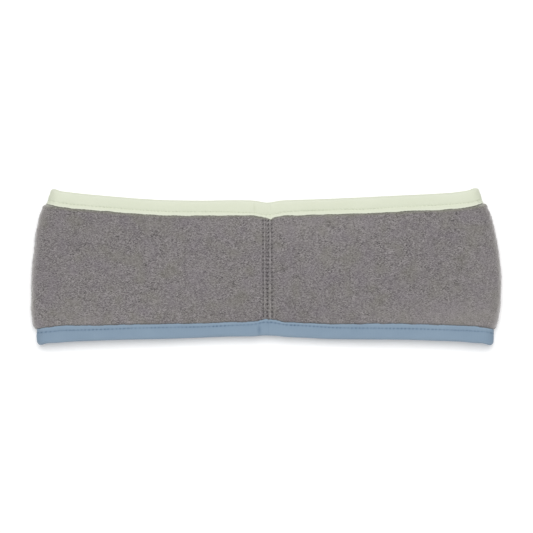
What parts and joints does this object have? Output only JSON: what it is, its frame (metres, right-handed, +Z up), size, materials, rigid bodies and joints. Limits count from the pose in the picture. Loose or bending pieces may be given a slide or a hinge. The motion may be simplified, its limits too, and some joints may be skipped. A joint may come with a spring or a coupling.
{
  "type": "ear warmer headband",
  "caption": "Loop of soft brushed fleece worn round the head over the ears, with a stretch binding folded over each edge and a seam at the centre front, shown lying flat.",
  "frame": {"origin": "under the middle of the band, on the surface that it lies on", "axes": "+X along the band to its right fold, +Y to its upper edge, +Z up from the surface, out of the front layer"},
  "size_m": [0.245, 0.082, 0.0131],
  "materials": {
    "grey_fleece": "brushed heather fleece, matt",
    "green_binding": "matt stretch knit",
    "blue_binding": "matt stretch knit"
  },
  "bodies": {
    "root": {"fleece_band": "grey_fleece", "top_binding": "green_binding", "bottom_binding": "blue_binding"}
  },
  "joints": []
}
